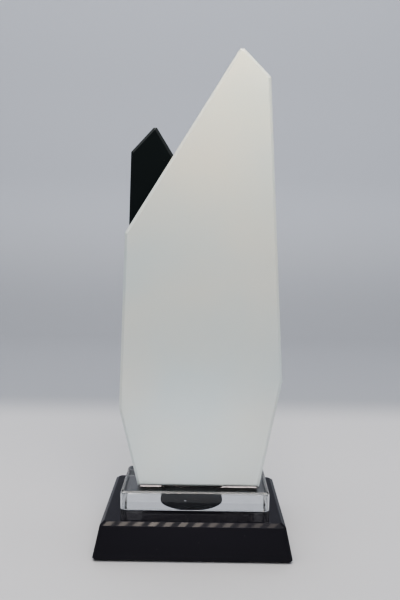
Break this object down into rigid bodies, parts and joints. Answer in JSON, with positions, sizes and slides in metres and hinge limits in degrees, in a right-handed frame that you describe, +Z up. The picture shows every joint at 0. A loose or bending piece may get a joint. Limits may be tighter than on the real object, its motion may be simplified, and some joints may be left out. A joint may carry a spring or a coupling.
{
  "type": "bonded crystal trophy",
  "caption": "Crystal award with a tall peaked white slab in front of a lower black slab, bonded on a clear plinth and a black base with sloping sides.",
  "frame": {"origin": "middle of the underside, on the surface the trophy stands on", "axes": "+Z up through the column, the white slab's face towards -Y, +X to the right of a person looking at that face"},
  "size_m": [0.1056, 0.0776, 0.2693],
  "materials": {
    "black_crystal_base": "polished black crystal glass, ground and polished bevels",
    "black_crystal_slab": "polished black crystal glass",
    "white_crystal": "milk-white crystal glass, polished, faintly cloudy",
    "clear_crystal": "clear polished crystal glass",
    "clear_adhesive": "clear cured adhesive, smooth",
    "pad_foam": "black closed-cell foam sheet, matte"
  },
  "bodies": {
    "root": {"base": "black_crystal_base", "base_pad": "pad_foam", "plinth": "clear_crystal", "white_slab": "white_crystal", "black_slab": "black_crystal_slab", "adhesive_base": "clear_adhesive", "adhesive_white_foot": "clear_adhesive", "adhesive_black_foot": "clear_adhesive", "adhesive_between_slabs": "clear_adhesive"}
  },
  "joints": []
}
